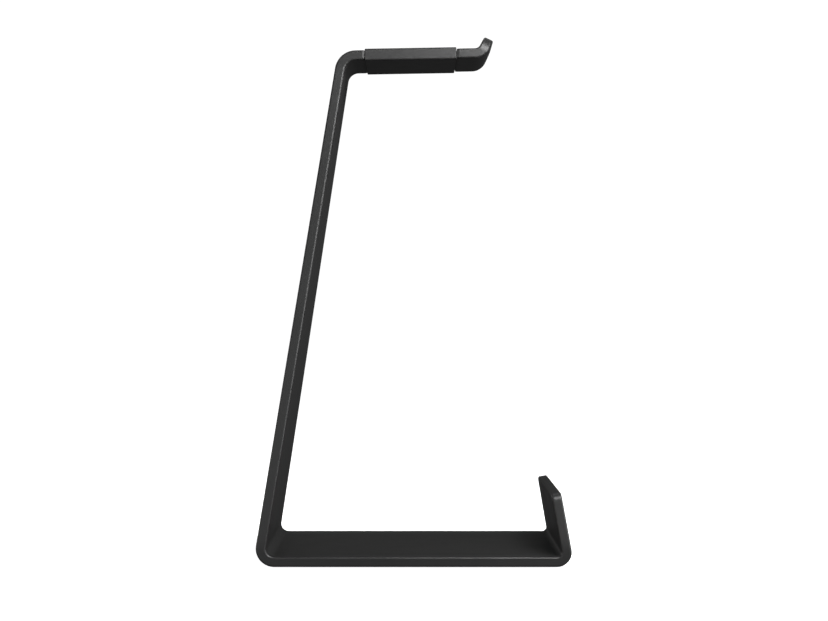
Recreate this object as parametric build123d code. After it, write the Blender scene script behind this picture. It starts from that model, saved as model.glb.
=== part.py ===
from build123d import *
import os
from math import cos, radians, sin, tan

# Headphone stand: one flat bar, tapered along its length and bent into a base, a leaning
# upright, an arm with an up-turned hook tip, and an up-turned front lip. A moulded sleeve sits
# in a recess round the arm, and four glued rubber feet sit in pockets under the base.
# Frame: origin on the floor under the middle of the base, +X from the upright to the lip,
# +Y across the bar, +Z up. All sizes in millimetres and degrees.

# --- overall
OVERALL_HEIGHT = 265.0  # floor to the hook tip's highest edge, before that edge is rounded
BASE_LENGTH = 154.4  # over the two base bends
BASE_WIDTH = 82.0
ARM_WIDTH = 41.0
BAR_THICKNESS = 5.0

# --- bends, each radius on the inside of its bend
HEEL_INNER_RADIUS = 4.0  # base to upright
LIP_INNER_RADIUS = 2.2  # base to lip
SHOULDER_INNER_RADIUS = 5.6  # upright to arm
HOOK_INNER_RADIUS = 3.0  # arm to hook tip

# --- directions
UPRIGHT_LEAN = 9.0  # from vertical, towards the lip
LIP_LEAN = 10.0  # from vertical, towards the upright
ARM_RISE = 1.0  # from horizontal, towards the hook
HOOK_RISE = 64.0  # from horizontal

# --- straight runs
LIP_HEIGHT = 37.1  # floor to the lip's outer end corner
UPRIGHT_SIDE_LAND = 4.6  # straight arm between the shoulder bend and the sleeve's recess
HOOK_SIDE_LAND = 9.1  # straight arm between the sleeve's recess and the hook bend
HOOK_TIP_LENGTH = 5.8  # straight part of the tip beyond its bend

# --- outline of the flat blank, which tapers between the heel bend and the shoulder bend
TAPER_BLEND_RADIUS = 60.0  # softens the two corners of the tapered outline
HOOK_CORNER_RADIUS = 8.0
LIP_CORNER_RADIUS = 4.0
EDGE_RADIUS = 0.9  # round on every outer edge of the bar

# --- sleeve and its recess in the arm
SLEEVE_LENGTH = 46.0
SLEEVE_WALL = 1.7
SLEEVE_EDGE_RADIUS = 1.0  # long edges
SLEEVE_END_RADIUS = 0.5  # round the rim of each end
NECK_DEPTH = 1.1  # the recess, on all four sides of the bar
UPRIGHT_END_GAP = 0.1  # between the sleeve and the shoulder nearer the upright
HOOK_END_GAP = 0.3  # between the sleeve and the shoulder nearer the hook
SHOULDER_BEVEL_LENGTH = 1.1  # a shallow bevel leads down to each shoulder
SHOULDER_BEVEL_DEPTH = 0.15

# --- feet
FOOT_RADIUS = 6.0
FOOT_HEIGHT = 1.8
FOOT_EDGE_BREAK = 0.3
ADHESIVE_THICKNESS = 0.2
ADHESIVE_MARGIN = 0.4  # inside the foot's rim
POCKET_DEPTH = 1.0
POCKET_CLEARANCE = 0.25  # round each foot
FOOT_END_MARGIN = 4.0  # between a pocket and the heel bend, and as much at the lip end
FOOT_SIDE_MARGIN = 7.3  # between a pocket and the rounded long edge


# --- worked out from the sizes above
half_thickness = BAR_THICKNESS / 2
ground_gap = FOOT_HEIGHT + ADHESIVE_THICKNESS - POCKET_DEPTH  # base underside above the floor
heel_radius = HEEL_INNER_RADIUS + half_thickness
lip_radius = LIP_INNER_RADIUS + half_thickness
shoulder_radius = SHOULDER_INNER_RADIUS + half_thickness
hook_radius = HOOK_INNER_RADIUS + half_thickness


def direction(angle):
    """Unit vector in the XZ plane, turned up from +X by the angle."""
    return Vector(cos(radians(angle)), 0, sin(radians(angle)))


def bend_setback(radius, turn):
    """Distance from a bend's corner to where its arc begins."""
    return radius * tan(radians(turn / 2))


upright_direction = direction(90 - UPRIGHT_LEAN)
lip_direction = direction(90 + LIP_LEAN)
arm_direction = direction(ARM_RISE)
hook_direction = direction(HOOK_RISE)
hook_upward = direction(HOOK_RISE + 90)  # from the tip's middle line to its upper face

heel_turn = 90 + UPRIGHT_LEAN
lip_turn = 90 + LIP_LEAN
shoulder_turn = 90 - UPRIGHT_LEAN - ARM_RISE
hook_turn = HOOK_RISE - ARM_RISE

# corners of the bar's middle line
base_middle_z = ground_gap + half_thickness
heel_setback = bend_setback(heel_radius, heel_turn)
lip_setback = bend_setback(lip_radius, lip_turn)
shoulder_setback = bend_setback(shoulder_radius, shoulder_turn)
hook_setback = bend_setback(hook_radius, hook_turn)
heel_overhang = heel_radius + half_thickness - heel_setback
lip_overhang = lip_radius + half_thickness - lip_setback
heel_corner = Vector(heel_overhang - BASE_LENGTH / 2, 0, base_middle_z)
lip_corner = Vector(BASE_LENGTH / 2 - lip_overhang, 0, base_middle_z)
neck_length = UPRIGHT_END_GAP + SLEEVE_LENGTH + HOOK_END_GAP
arm_straight = UPRIGHT_SIDE_LAND + neck_length + HOOK_SIDE_LAND
shoulder_to_hook = arm_direction * (shoulder_setback + arm_straight + hook_setback)
hook_to_end = hook_direction * (hook_setback + HOOK_TIP_LENGTH)
tip_rise = shoulder_to_hook.Z + hook_to_end.Z + hook_upward.Z * half_thickness
upright_run = (OVERALL_HEIGHT - tip_rise - base_middle_z) / upright_direction.Z
shoulder_corner = heel_corner + upright_direction * upright_run
hook_corner = shoulder_corner + shoulder_to_hook
tip_end = hook_corner + hook_to_end
lip_outer_rise = half_thickness * sin(radians(LIP_LEAN))  # outer end corner above the middle line
lip_run = (LIP_HEIGHT - lip_outer_rise - base_middle_z) / lip_direction.Z
lip_end = lip_corner + lip_direction * lip_run

taper_start_height = heel_corner.Z + heel_setback * upright_direction.Z
taper_end_height = shoulder_corner.Z - shoulder_setback * upright_direction.Z

# this plane stands where the recess starts: X along the arm, Z out of the arm's upper side
recess_start = shoulder_corner + arm_direction * (shoulder_setback + UPRIGHT_SIDE_LAND)
arm_plane = Plane(recess_start, x_dir=arm_direction, z_dir=direction(ARM_RISE + 90))
neck_width = ARM_WIDTH - 2 * NECK_DEPTH
neck_thickness = BAR_THICKNESS - 2 * NECK_DEPTH

pocket_radius = FOOT_RADIUS + POCKET_CLEARANCE
heel_outer_radius = HEEL_INNER_RADIUS + BAR_THICKNESS
foot_x = BASE_LENGTH / 2 - heel_outer_radius - FOOT_END_MARGIN - pocket_radius
foot_y = BASE_WIDTH / 2 - EDGE_RADIUS - FOOT_SIDE_MARGIN - pocket_radius


def bent_bar():
    """The bar's side view, one thickness all along its bent middle line, as wide as the base."""
    corners = [lip_end, lip_corner, heel_corner, shoulder_corner, hook_corner, tip_end]
    radii = [lip_radius, heel_radius, shoulder_radius, hook_radius]
    middle_line = FilletPolyline(*[(corner.X, corner.Z) for corner in corners], radius=radii)
    upper = offset(middle_line, half_thickness, side=Side.LEFT, closed=False)
    lower = offset(middle_line, half_thickness, side=Side.RIGHT, closed=False)
    ends = [Line(upper @ 0, lower @ 1), Line(upper @ 1, lower @ 0)]
    side_view = make_face(upper.edges() + lower.edges() + [end.edge() for end in ends])
    return extrude(Plane.XZ * side_view, BASE_WIDTH / 2, both=True)


def tapered_outline():
    """A slab along X with the end view of the bar: full width low down, arm width at the top."""
    half_base = BASE_WIDTH / 2
    half_arm = ARM_WIDTH / 2
    margin = BAR_THICKNESS
    bottom = ground_gap - margin
    top = OVERALL_HEIGHT + margin
    corners = [
        (-half_base, bottom),
        (half_base, bottom),
        (half_base, taper_start_height),
        (half_arm, taper_end_height),
        (half_arm, top),
        (-half_arm, top),
        (-half_arm, taper_end_height),
        (-half_base, taper_start_height),
    ]
    outline = Polygon(*corners, align=None)
    taper_corners = [v for v in outline.vertices() if 0 < v.Y < OVERALL_HEIGHT]
    outline = fillet(taper_corners, TAPER_BLEND_RADIUS)
    return extrude(Plane.YZ * outline, BASE_LENGTH, both=True)


def short_end_edges(bar, end_point, run_direction):
    """The two edges across the thickness at one end of the bar."""
    end_face = bar.faces().sort_by_distance(end_point)[0]
    through = run_direction.cross(Vector(0, 1, 0))
    return [e for e in end_face.edges() if abs((e % 0.5).dot(through)) > 0.99]


def sharp_edges(solid):
    """Edges where two faces meet at a corner and not in a smooth run."""
    found = []
    for edge in solid.edges():
        middle = edge @ 0.5
        normals = [face.normal_at(middle) for face in solid.faces() if edge in face.edges()]
        if len(normals) == 2 and normals[0].dot(normals[1]) < 0.5:
            found.append(edge)
    return found


def along_arm(start, length, width, thickness):
    """A block round the arm's middle line, its near end that far along from the recess's start."""
    return arm_plane * Pos(start + length / 2, 0, 0) * Box(length, width, thickness)


def recess_waste():
    """What is cut from the arm for the sleeve: a ring with shallow bevels at both ends."""
    beveled_length = neck_length + 2 * SHOULDER_BEVEL_LENGTH
    waste = along_arm(-SHOULDER_BEVEL_LENGTH, beveled_length, BASE_WIDTH, 2 * BAR_THICKNESS)
    waste -= along_arm(0, neck_length, neck_width, neck_thickness)
    low_width = ARM_WIDTH - 2 * SHOULDER_BEVEL_DEPTH
    low_thickness = BAR_THICKNESS - 2 * SHOULDER_BEVEL_DEPTH
    low_radius = EDGE_RADIUS - SHOULDER_BEVEL_DEPTH
    low_section = RectangleRounded(low_width, low_thickness, low_radius)
    full_section = RectangleRounded(ARM_WIDTH, BAR_THICKNESS, EDGE_RADIUS)
    bevel_ends = ((0, -SHOULDER_BEVEL_LENGTH), (neck_length, neck_length + SHOULDER_BEVEL_LENGTH))
    for low_end, full_end in bevel_ends:
        low = arm_plane * Plane.YZ.offset(low_end) * low_section
        full = arm_plane * Plane.YZ.offset(full_end) * full_section
        waste -= loft([low, full])
    return waste


def build_frame():
    """The bent bar with rounded corners and edges, the sleeve's recess and the feet's pockets."""
    bar = bent_bar() & tapered_outline()
    bar = fillet(short_end_edges(bar, lip_end, lip_direction), LIP_CORNER_RADIUS)
    bar = fillet(short_end_edges(bar, tip_end, hook_direction), HOOK_CORNER_RADIUS)
    bar = fillet(sharp_edges(bar), EDGE_RADIUS)
    bar -= recess_waste()
    for x, y in foot_places.values():
        bar -= Pos(x, y, ground_gap) * Cylinder(pocket_radius, 2 * POCKET_DEPTH)
    return bar


def build_sleeve():
    """The moulded sleeve: it fills the recess and stands a little proud of the bar all round."""
    width = neck_width + 2 * SLEEVE_WALL
    thickness = neck_thickness + 2 * SLEEVE_WALL
    shell = along_arm(UPRIGHT_END_GAP, SLEEVE_LENGTH, width, thickness)
    long_edges = [e for e in shell.edges() if abs((e % 0.5).dot(arm_direction)) > 0.99]
    shell = fillet(long_edges, SLEEVE_EDGE_RADIUS)
    shell = fillet(sharp_edges(shell), SLEEVE_END_RADIUS)
    return shell - along_arm(-SLEEVE_LENGTH, 3 * SLEEVE_LENGTH, neck_width, neck_thickness)


def build_foot(x, y):
    """One rubber foot: a low disc with its lower edge broken, its underside on the floor."""
    disc = Pos(x, y, FOOT_HEIGHT / 2) * Cylinder(FOOT_RADIUS, FOOT_HEIGHT)
    return fillet(disc.edges().group_by(Axis.Z)[0], FOOT_EDGE_BREAK)


def build_adhesive(x, y):
    """The disc of adhesive between a foot and the roof of its pocket."""
    middle_z = FOOT_HEIGHT + ADHESIVE_THICKNESS / 2
    return Pos(x, y, middle_z) * Cylinder(FOOT_RADIUS - ADHESIVE_MARGIN, ADHESIVE_THICKNESS)


foot_places = {
    "front_left": (-foot_x, -foot_y),
    "front_right": (foot_x, -foot_y),
    "rear_left": (-foot_x, foot_y),
    "rear_right": (foot_x, foot_y),
}

pieces = {"frame": build_frame(), "arm_sleeve": build_sleeve()}
for place, (x, y) in foot_places.items():
    pieces[f"foot_{place}"] = build_foot(x, y)
    pieces[f"foot_adhesive_{place}"] = build_adhesive(x, y)

os.makedirs("parts", exist_ok=True)
for node, solid in pieces.items():
    export_step(solid, f"parts/{node}.step")
    print(f"{node}: {solid.volume:.0f} mm3, valid {solid.is_valid}, solids {len(solid.solids())}")
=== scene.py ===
"""Headphone stand: a bent bar of black anodised aluminium, a moulded sleeve and rubber feet."""

import logging
import math
from collections.abc import Callable
from dataclasses import dataclass, field
from enum import Enum

import bpy
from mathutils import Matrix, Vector


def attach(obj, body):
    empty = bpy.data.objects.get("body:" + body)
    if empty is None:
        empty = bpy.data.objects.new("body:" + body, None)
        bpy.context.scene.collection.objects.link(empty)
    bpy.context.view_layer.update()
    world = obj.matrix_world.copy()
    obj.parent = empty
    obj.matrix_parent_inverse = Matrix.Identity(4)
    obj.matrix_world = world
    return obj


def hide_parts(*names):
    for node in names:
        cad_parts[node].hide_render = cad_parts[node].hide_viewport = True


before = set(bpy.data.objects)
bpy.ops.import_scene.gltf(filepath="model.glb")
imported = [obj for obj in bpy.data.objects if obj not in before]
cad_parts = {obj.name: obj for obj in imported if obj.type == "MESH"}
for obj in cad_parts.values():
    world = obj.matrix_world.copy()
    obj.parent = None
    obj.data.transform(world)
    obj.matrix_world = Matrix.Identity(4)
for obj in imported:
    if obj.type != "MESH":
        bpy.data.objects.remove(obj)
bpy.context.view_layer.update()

log = logging.getLogger("headphone_stand")

MM = 0.001
TINY = 0.005 * MM
SHARP_ANGLE = math.radians(32)

# Cosines that tell a face's normal or an edge's direction apart: along an axis, or across it.
ALONG = 0.9
ACROSS = 0.1

# Noise values that most of a noise texture lies between: all of it, and its busy middle.
NOISE_RANGE = (0.3, 0.7)
NOISE_MIDDLE = (0.35, 0.65)


class Grain(Enum):
    """How the fine relief of a surface was made; the value is the texture node that draws it."""

    BLASTED = "ShaderNodeTexNoise"
    SPARK_ERODED = "ShaderNodeTexVoronoi"


class Part(Enum):
    """What a pick in edit mode selects; the value is the select mode."""

    FACES = "FACE"
    EDGES = "EDGE"


class Corner(Enum):
    """A corner of the base; the value is its sign along X and along Y."""

    FRONT_LEFT = (-1, -1)
    FRONT_RIGHT = (1, -1)
    REAR_LEFT = (-1, 1)
    REAR_RIGHT = (1, 1)


def linear_colour(hex_value: str) -> tuple[float, float, float, float]:
    """Turn an sRGB colour into the linear one that Blender's nodes take.

    Args:
        hex_value: six hexadecimal digits, red, green and blue.

    Returns:
        Linear red, green and blue, and an alpha of one.
    """
    channels = []
    for start in (0, 2, 4):
        value = int(hex_value[start:start + 2], 16) / 255
        channels.append(value / 12.92 if value <= 0.04045 else ((value + 0.055) / 1.055) ** 2.4)
    return (*channels, 1.0)


def add_node(
    tree: bpy.types.NodeTree, kind: str, inputs: dict | None = None, **settings: object
) -> bpy.types.Node:
    """Add a node to a tree, with its settings, its constant inputs and its links.

    Args:
        tree: the node tree.
        kind: the node's type name.
        inputs: input name or index to a constant, or to the output socket that feeds it.
        settings: attributes of the node itself.

    Returns:
        The new node.
    """
    node = tree.nodes.new(kind)
    for name, value in settings.items():
        setattr(node, name, value)
    for name, value in (inputs or {}).items():
        if isinstance(value, bpy.types.NodeSocket):
            tree.links.new(value, node.inputs[name])
        else:
            node.inputs[name].default_value = value
    return node


@dataclass(frozen=True)
class Finish:
    """A surface finish: fine relief and uneven gloss over one colour, with lighter edges that are
    part wear, part painted highlight.

    Attributes:
        name: the material's name.
        colour: main sRGB colour.
        wear_and_highlight_colour: sRGB colour of the lighter edges, where hands and cloth have
            rubbed and where a highlight is painted.
        roughness: microscopic roughness of the clean surface.
        roughness_spread: how far the roughness wanders from place to place.
        specular: specular level of the shader.
        grain: how the fine relief was made.
        grain_size: spacing of the fine relief, in millimetres.
        grain_depth: depth of the fine relief, in millimetres.
        cloud_size: size of the slow changes in gloss, in millimetres.
        edge_radius: how far the lighter edge, wear and painted highlight, reaches in from an edge,
            in millimetres.
        edge_wear_and_highlight: share of the lighter colour on the most lightened edges, part wear
            and part painted highlight.
        least_wear_and_highlight: share of edge_wear_and_highlight on the least lightened edges.
        patch_size: size of the patches that break up the lighter edges, in millimetres.
        edge_bend: cosine of the turn in the surface that counts as a whole edge.
    """

    name: str
    colour: str
    wear_and_highlight_colour: str
    roughness: float
    roughness_spread: float
    specular: float
    grain: Grain
    grain_size: float
    grain_depth: float
    cloud_size: float
    edge_radius: float
    edge_wear_and_highlight: float
    least_wear_and_highlight: float = 0.4
    patch_size: float = 4.0
    edge_bend: float = 0.9

    def material(self) -> bpy.types.Material:
        """Build the material.

        Returns:
            The finished material, which reads Object coordinates.
        """
        material = bpy.data.materials.new(self.name)
        material.use_nodes = True
        tree = material.node_tree
        tree.nodes.clear()
        place = add_node(tree, "ShaderNodeTexCoord").outputs["Object"]
        cloud = add_node(
            tree, "ShaderNodeTexNoise",
            {"Vector": place, "Scale": 1 / (self.cloud_size * MM), "Detail": 4.0,
             "Roughness": 0.55},
        ).outputs["Fac"]
        grain = add_node(
            tree, self.grain.value, {"Vector": place, "Scale": 1 / (self.grain_size * MM)}
        ).outputs[0]
        gloss = add_node(
            tree, "ShaderNodeMapRange",
            {"Value": cloud, "From Min": NOISE_RANGE[0], "From Max": NOISE_RANGE[1],
             "To Min": self.roughness - self.roughness_spread,
             "To Max": self.roughness + self.roughness_spread},
        ).outputs["Result"]
        # Edges painted lighter: part wear, and on the bar and the sleeve also a painted highlight.
        wear_and_highlight = self.wear_and_highlight(tree, place)
        colour = add_node(
            tree, "ShaderNodeMix",
            {"Factor": wear_and_highlight, 6: linear_colour(self.colour), 7: linear_colour(self.wear_and_highlight_colour)},
            data_type="RGBA",
        ).outputs[2]
        relief = add_node(
            tree, "ShaderNodeBump",
            {"Height": grain, "Distance": self.grain_depth * MM, "Strength": 1.0},
        ).outputs["Normal"]
        shader = add_node(
            tree, "ShaderNodeBsdfPrincipled",
            {"Base Color": colour, "Roughness": gloss, "Specular IOR Level": self.specular,
             "Normal": relief},
        )
        add_node(tree, "ShaderNodeOutputMaterial", {"Surface": shader.outputs["BSDF"]})
        return material

    def wear_and_highlight(self, tree: bpy.types.NodeTree, place: bpy.types.NodeSocket) -> bpy.types.NodeSocket:
        """Find the lighter edges, part wear and part painted highlight, broken up by a coarse
        noise.

        Args:
            tree: the material's node tree.
            place: the position that the pattern follows.

        Returns:
            The share of the worn colour, from zero to one.
        """
        rounded = add_node(
            tree, "ShaderNodeBevel", {"Radius": self.edge_radius * MM}, samples=4
        ).outputs["Normal"]
        true_normal = add_node(tree, "ShaderNodeNewGeometry").outputs["Normal"]
        agreement = add_node(
            tree, "ShaderNodeVectorMath", {0: rounded, 1: true_normal}, operation="DOT_PRODUCT"
        ).outputs["Value"]
        edge = add_node(
            tree, "ShaderNodeMapRange",
            {"Value": agreement, "From Min": 1.0, "From Max": self.edge_bend,
             "To Min": 0.0, "To Max": 1.0},
        ).outputs["Result"]
        patches = add_node(
            tree, "ShaderNodeTexNoise",
            {"Vector": place, "Scale": 1 / (self.patch_size * MM), "Detail": 5.0},
        ).outputs["Fac"]
        broken = add_node(
            tree, "ShaderNodeMapRange",
            {"Value": patches, "From Min": NOISE_MIDDLE[0], "From Max": NOISE_MIDDLE[1],
             "To Min": self.least_wear_and_highlight * self.edge_wear_and_highlight, "To Max": self.edge_wear_and_highlight},
        ).outputs["Result"]
        return add_node(
            tree, "ShaderNodeMath", {0: edge, 1: broken}, operation="MULTIPLY"
        ).outputs["Value"]


# Aluminium plate, bead blasted and then dyed black in the anodising bath: a dark grey skin, even
# and matt, with a broad soft shine. Its edges are painted a shade lighter, partly for the thinner
# skin there and partly as a painted highlight along every edge. The craters are 0.1 mm across and
# are drawn three times as coarse, so that they show.
BLACK_ANODISED = Finish(
    name="black_anodised_blasted_aluminium",
    colour="202020",
    wear_and_highlight_colour="464646",
    roughness=0.4,
    roughness_spread=0.03,
    specular=0.5,
    grain=Grain.BLASTED,
    grain_size=0.3,
    grain_depth=0.008,
    cloud_size=18.0,
    edge_radius=0.6,
    edge_wear_and_highlight=0.5,
)
# Silicone from a spark-eroded mould: soft black with an even, slightly waxy shine, and pits of
# 0.25 mm from the mould's wall.
BLACK_SILICONE = Finish(
    name="black_moulded_silicone",
    colour="202020",
    # Its edges are painted a shade lighter: part rubbing, part a painted highlight.
    wear_and_highlight_colour="303030",
    roughness=0.42,
    roughness_spread=0.03,
    specular=0.5,
    grain=Grain.SPARK_ERODED,
    grain_size=0.25,
    grain_depth=0.008,
    cloud_size=9.0,
    edge_radius=0.5,
    edge_wear_and_highlight=0.3,
)
# Moulded rubber bumper: dull black that greys where it is rubbed, with a grain of 0.3 mm.
BLACK_RUBBER = Finish(
    name="black_moulded_rubber",
    colour="161616",
    wear_and_highlight_colour="2b2b2a",
    roughness=0.62,
    roughness_spread=0.05,
    specular=0.4,
    grain=Grain.SPARK_ERODED,
    grain_size=0.3,
    grain_depth=0.015,
    cloud_size=5.0,
    edge_radius=0.3,
    edge_wear_and_highlight=0.5,
)
# Acrylic adhesive film, die cut: milky and half glossy, with faint streaks from its liner.
ADHESIVE_FILM = Finish(
    name="acrylic_adhesive_film",
    colour="c9c6b8",
    wear_and_highlight_colour="b4b0a0",
    roughness=0.35,
    roughness_spread=0.05,
    specular=0.5,
    grain=Grain.BLASTED,
    grain_size=0.6,
    grain_depth=0.004,
    cloud_size=3.0,
    edge_radius=0.1,
    edge_wear_and_highlight=0.4,
)


def dress(piece: bpy.types.Object, material: bpy.types.Material) -> None:
    """Put one material on a piece, all over.

    Args:
        piece: the piece.
        material: the material that it wears.
    """
    piece.data.materials.clear()
    piece.data.materials.append(material)


def pick(
    piece: bpy.types.Object, part: Part, test: Callable[[Vector, Vector], bool]
) -> None:
    """Select the faces or edges of a piece that pass a test, and leave it in edit mode.

    Args:
        piece: the active piece, in object mode or edit mode.
        part: faces or edges.
        test: takes a face's centre and normal, or an edge's middle and direction.
    """
    bpy.ops.object.mode_set(mode="EDIT")
    bpy.ops.mesh.select_mode(type=part.value)
    bpy.ops.mesh.select_all(action="DESELECT")
    bpy.ops.object.mode_set(mode="OBJECT")
    mesh = piece.data
    if part is Part.FACES:
        for face in mesh.polygons:
            face.select = test(face.center, face.normal)
    else:
        for edge in mesh.edges:
            start, end = (mesh.vertices[index].co for index in edge.vertices)
            edge.select = test((start + end) / 2, (end - start).normalized())
    bpy.ops.object.mode_set(mode="EDIT")


def finish_mesh(piece: bpy.types.Object) -> None:
    """Close a piece's modelling: smooth shading, flat faces kept flat, place put in the mesh.

    Args:
        piece: the active piece, in edit mode or object mode.
    """
    bpy.ops.object.mode_set(mode="EDIT")
    bpy.ops.mesh.select_all(action="SELECT")
    bpy.ops.mesh.remove_doubles(threshold=TINY)
    bpy.ops.mesh.normals_make_consistent(inside=False)
    bpy.ops.object.mode_set(mode="OBJECT")
    bpy.ops.object.transform_apply(location=True, rotation=True, scale=True)
    bpy.ops.object.shade_smooth_by_angle(angle=SHARP_ANGLE)
    modifier = piece.modifiers.new("flat_faces", "WEIGHTED_NORMAL")
    modifier.keep_sharp = True
    bpy.ops.object.modifier_apply(modifier=modifier.name)


@dataclass
class BentBar:
    """The one-piece bar: base, upright, arm, hook and lip."""

    node: str = "frame"

    def dress(self) -> list[bpy.types.Object]:
        """Give the bar its anodised skin.

        Returns:
            The pieces dressed.
        """
        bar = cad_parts[self.node]
        dress(bar, BLACK_ANODISED.material())
        return [bar]


@dataclass
class ArmSleeve:
    """The moulded sleeve round the arm, open at both ends.

    Attributes:
        centre: the middle of the sleeve.
        rise: the arm's slope.
        length: its size along the arm.
        width: its size across the arm.
        thickness: its size through the arm.
        wall: the thickness of its skin.
        edge_radius: the round on its four long edges.
        rim_radius: the round on the rim of each end.
        rim_tolerance: how close to the outline an edge lies to be part of the rim.
        edge_segments: faces across the round on a long edge.
        rim_segments: faces across the round on a rim.
    """

    centre: tuple[float, float, float] = (-1.575 * MM, 0.0, 255.037 * MM)
    rise: float = math.radians(1)
    length: float = 46.0 * MM
    width: float = 42.2 * MM
    thickness: float = 6.2 * MM
    wall: float = 1.7 * MM
    edge_radius: float = 1.0 * MM
    rim_radius: float = 0.3 * MM
    rim_tolerance: float = 0.03 * MM
    edge_segments: int = 6
    rim_segments: int = 4

    def rim_gap(self, point: Vector) -> float:
        """Distance of a point from the outline of the sleeve's end, seen along the arm.

        Args:
            point: a point of the sleeve, before it is moved to the arm.

        Returns:
            The distance, never negative.
        """
        across = abs(point.y) - (self.width / 2 - self.edge_radius)
        through = abs(point.z) - (self.thickness / 2 - self.edge_radius)
        outside = math.hypot(max(across, 0.0), max(through, 0.0))
        return abs(outside + min(max(across, through), 0.0) - self.edge_radius)

    def build(self) -> bpy.types.Object:
        """Model the sleeve.

        Returns:
            The finished piece.
        """
        bpy.ops.object.select_all(action="DESELECT")
        bpy.ops.mesh.primitive_cube_add(
            size=1, location=(0, 0, 0), scale=(self.length, self.width, self.thickness)
        )
        sleeve = bpy.context.object
        sleeve.name = "silicone_sleeve"
        bpy.ops.object.transform_apply(scale=True)
        half_length = self.length / 2
        pick(sleeve, Part.FACES, lambda middle, normal: abs(normal.x) > ALONG)
        bpy.ops.mesh.inset(thickness=self.wall, depth=0, use_individual=True)
        bpy.ops.mesh.bridge_edge_loops()
        pick(
            sleeve, Part.EDGES,
            lambda middle, along: abs(along.x) > ALONG
            and abs(middle.y) > self.width / 2 - TINY and abs(middle.z) > self.thickness / 2 - TINY,
        )
        bpy.ops.mesh.bevel(
            offset=self.edge_radius, segments=self.edge_segments, profile=0.5, affect="EDGES"
        )
        pick(
            sleeve, Part.EDGES,
            lambda middle, along: abs(abs(middle.x) - half_length) < TINY
            and abs(along.x) < ACROSS and self.rim_gap(middle) < self.rim_tolerance,
        )
        bpy.ops.mesh.bevel(
            offset=self.rim_radius, segments=self.rim_segments, profile=0.5, affect="EDGES"
        )
        bpy.ops.object.mode_set(mode="OBJECT")
        sleeve.location = self.centre
        sleeve.rotation_euler = (0, -self.rise, 0)
        finish_mesh(sleeve)
        return sleeve

    def dress(self) -> list[bpy.types.Object]:
        """Build the sleeve, dress it and seat it on the arm.

        Returns:
            The pieces built.
        """
        sleeve = self.build()
        dress(sleeve, BLACK_SILICONE.material())
        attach(sleeve, "root")
        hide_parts("arm_sleeve")
        return [sleeve]


@dataclass
class BaseFeet:
    """Four moulded bumpers and the adhesive discs that hold them.

    Attributes:
        spacing: distance of a foot's axis from the middle of the base, along X and Y.
        radius: radius of a foot.
        height: height of a foot.
        edge: the round on a foot's rim.
        dish_margin: width of the flat ring that touches the table.
        dish_depth: depth of the dish inside that ring.
        sides: number of faces round a foot.
        edge_segments: faces across the round on the rim.
        rim_share: share of the radius beyond which an edge is part of the rim.
    """

    spacing: tuple[float, float] = (57.947 * MM, 26.55 * MM)
    radius: float = 6.0 * MM
    height: float = 1.8 * MM
    edge: float = 0.3 * MM
    dish_margin: float = 1.6 * MM
    dish_depth: float = 0.25 * MM
    sides: int = 72
    edge_segments: int = 4
    rim_share: float = 0.99

    def build(self) -> bpy.types.Object:
        """Model one foot, standing on the floor at the origin.

        Returns:
            The foot, with its mesh centred on the Z axis.
        """
        bpy.ops.object.select_all(action="DESELECT")
        bpy.ops.mesh.primitive_cylinder_add(
            vertices=self.sides, radius=self.radius, depth=self.height,
            location=(0, 0, self.height / 2),
        )
        foot = bpy.context.object
        foot.name = "rubber_foot"
        bpy.ops.object.transform_apply(location=True)
        pick(foot, Part.FACES, lambda middle, normal: normal.z < -ALONG)
        bpy.ops.mesh.inset(thickness=self.dish_margin, depth=0)
        bpy.ops.mesh.inset(thickness=self.dish_depth, depth=-self.dish_depth)
        bpy.ops.mesh.inset(thickness=self.dish_margin, depth=-self.dish_depth / 2)
        bpy.ops.mesh.poke()
        pick(
            foot, Part.EDGES,
            lambda middle, along: abs(along.z) < ACROSS
            and math.hypot(middle.x, middle.y) > self.radius * self.rim_share,
        )
        bpy.ops.mesh.bevel(
            offset=self.edge, segments=self.edge_segments, profile=0.5, affect="EDGES"
        )
        finish_mesh(foot)
        return foot

    def place(self, foot: bpy.types.Object, corner: Corner) -> bpy.types.Object:
        """Copy the foot to one corner, with its own mesh.

        Args:
            foot: the finished foot at the origin.
            corner: where it goes.

        Returns:
            The copy, with its place in its mesh.
        """
        copy = foot.copy()
        copy.data = foot.data.copy()
        copy.name = f"rubber_foot_{corner.name.lower()}"
        bpy.context.scene.collection.objects.link(copy)
        bpy.ops.object.select_all(action="DESELECT")
        copy.select_set(True)
        bpy.context.view_layer.objects.active = copy
        copy.location = (corner.value[0] * self.spacing[0], corner.value[1] * self.spacing[1], 0)
        bpy.ops.object.transform_apply(location=True)
        return copy

    def dress(self) -> list[bpy.types.Object]:
        """Build the feet and dress them and their adhesive discs.

        Returns:
            The pieces built or dressed.
        """
        rubber = BLACK_RUBBER.material()
        film = ADHESIVE_FILM.material()
        master = self.build()
        pieces = []
        for corner in Corner:
            place_name = corner.name.lower()
            foot = self.place(master, corner)
            dress(foot, rubber)
            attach(foot, "root")
            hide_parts(f"foot_{place_name}")
            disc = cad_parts[f"foot_adhesive_{place_name}"]
            dress(disc, film)
            pieces += [foot, disc]
        bpy.data.objects.remove(master)
        return pieces


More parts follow.
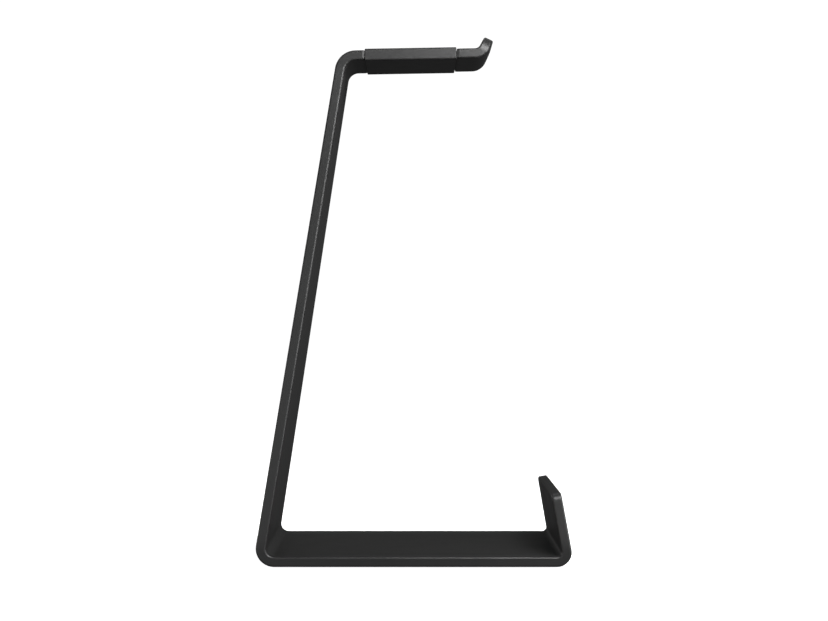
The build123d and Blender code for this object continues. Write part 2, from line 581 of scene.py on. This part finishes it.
@dataclass(frozen=True)
class Softbox:
    """One soft area light, aimed at the middle of the stand.

    Attributes:
        name: the light's name.
        place: where it hangs, in metres.
        width: width of its face, in metres.
        height: height of its face, in metres.
        watts: its power.
    """

    name: str
    place: tuple[float, float, float]
    width: float
    height: float
    watts: float

    def hang(self, target: tuple[float, float, float]) -> None:
        """Add the light to the scene.

        Args:
            target: the point that it faces.
        """
        data = bpy.data.lights.new(self.name, "AREA")
        data.shape = "RECTANGLE"
        data.size = self.width
        data.size_y = self.height
        data.energy = self.watts
        lamp = bpy.data.objects.new(self.name, data)
        bpy.context.scene.collection.objects.link(lamp)
        lamp.location = self.place
        aim = Vector(target) - Vector(self.place)
        lamp.rotation_euler = aim.to_track_quat("-Z", "Y").to_euler()
        lamp.visible_camera = False


@dataclass
class Studio:
    """The pale floor, the soft lights and the camera.

    Attributes:
        camera_place: the camera's lens, in metres.
        lens: focal length, in millimetres.
        sensor_width: width of the camera's sensor, in millimetres.
        sight: nearest and farthest distance that the camera sees, in metres.
        floor_size: side of the floor, in metres.
        floor_glow: brightness of the paper floor without the lamps.
        paper: brightness of the white behind the floor.
        room: brightness of the room that the stand reflects.
        target: the point that the lights face.
        lights: the softboxes.
    """

    camera_place: tuple[float, float, float] = (0.13 * MM, -720 * MM, 126.22 * MM)
    lens: float = 60.565
    sensor_width: float = 36.0
    sight: tuple[float, float] = (0.01, 100.0)
    floor_size: float = 40.0
    floor_glow: float = 1.0
    paper: float = 1.05
    room: float = 0.05
    target: tuple[float, float, float] = (0.0, 0.0, 0.13)
    # Small boxes near the stand make its narrow highlights, and the three large ones fill its back.
    lights: list[Softbox] = field(default_factory=lambda: [
        Softbox("high_key", (0.2, -0.4, 0.42), 0.2, 0.2, 2.67),
        Softbox("high_key_side", (0.25, -0.25, 0.45), 0.2, 0.2, 1.6),
        Softbox("low_side", (0.55, -0.03, 0.12), 0.3, 0.2, 0.72),
        Softbox("low_front_side", (0.45, -0.35, 0.12), 0.3, 0.2, 1.35),
        Softbox("low_front", (0.05, -1.0, 0.12), 0.6, 0.2, 0.53),
        Softbox("left_reflector", (-0.3, -0.35, 0.015), 0.3, 0.3, 0.36),
        Softbox("left_fill", (-1.25, 0.0, 0.3), 0.6, 0.5, 1.2),
        Softbox("top_fill", (0.0, 0.5, 1.05), 0.6, 0.5, 0.8),
        Softbox("back_left_fill", (-1.0, 0.75, 0.25), 0.6, 0.5, 2.5),
    ])

    def build_floor(self) -> None:
        """Lay the plain pale floor under the object."""
        bpy.ops.object.select_all(action="DESELECT")
        bpy.ops.mesh.primitive_plane_add(size=self.floor_size, location=(0, 0, 0))
        floor = bpy.context.object
        floor.name = "studio_floor"
        # Seamless background paper, matt, lit until it is pure white and shows no horizon.
        material = bpy.data.materials.new("white_studio_paper")
        material.use_nodes = True
        tree = material.node_tree
        tree.nodes.clear()
        shader = add_node(
            tree, "ShaderNodeBsdfPrincipled",
            {"Base Color": linear_colour("f4f4f4"), "Roughness": 0.9,
             "Emission Color": linear_colour("ffffff"), "Emission Strength": self.floor_glow},
        )
        add_node(tree, "ShaderNodeOutputMaterial", {"Surface": shader.outputs["BSDF"]})
        dress(floor, material)
        floor.visible_glossy = False
        floor.visible_diffuse = False

    def build_world(self) -> None:
        """White paper all round for the eye, a dim room for the stand to reflect."""
        world = bpy.data.worlds.new("studio_room")
        bpy.context.scene.world = world
        world.use_nodes = True
        tree = world.node_tree
        tree.nodes.clear()
        sight = add_node(tree, "ShaderNodeLightPath").outputs["Is Camera Ray"]
        paper = add_node(
            tree, "ShaderNodeBackground", {"Color": (1, 1, 1, 1), "Strength": self.paper}
        )
        room = add_node(
            tree, "ShaderNodeBackground", {"Color": (1, 1, 1, 1), "Strength": self.room}
        )
        seen = add_node(
            tree, "ShaderNodeMixShader",
            {0: sight, 1: room.outputs["Background"], 2: paper.outputs["Background"]},
        )
        add_node(tree, "ShaderNodeOutputWorld", {"Surface": seen.outputs["Shader"]})

    def build_camera(self) -> None:
        """Set the camera in front of the base's middle, level, looking along +Y."""
        data = bpy.data.cameras.new("camera")
        data.lens = self.lens
        data.sensor_width = self.sensor_width
        data.clip_start, data.clip_end = self.sight
        camera = bpy.data.objects.new("camera", data)
        bpy.context.scene.collection.objects.link(camera)
        camera.location = self.camera_place
        camera.rotation_euler = (math.radians(90), 0, 0)
        bpy.context.scene.camera = camera

    def build(self) -> None:
        """Set up the whole studio."""
        self.build_camera()
        self.build_floor()
        self.build_world()
        for light in self.lights:
            light.hang(self.target)
        bpy.context.scene.view_settings.view_transform = "Standard"


def main() -> None:
    """Build the studio and every sub-assembly, and report each piece."""
    logging.basicConfig(level=logging.INFO, format="%(name)s: %(message)s")
    Studio().build()
    for assembly in (BentBar(), ArmSleeve(), BaseFeet()):
        for piece in assembly.dress():
            log.info("%s: %s, %d faces", type(assembly).__name__, piece.name,
                     len(piece.data.polygons))


if __name__ == "__main__":
    main()
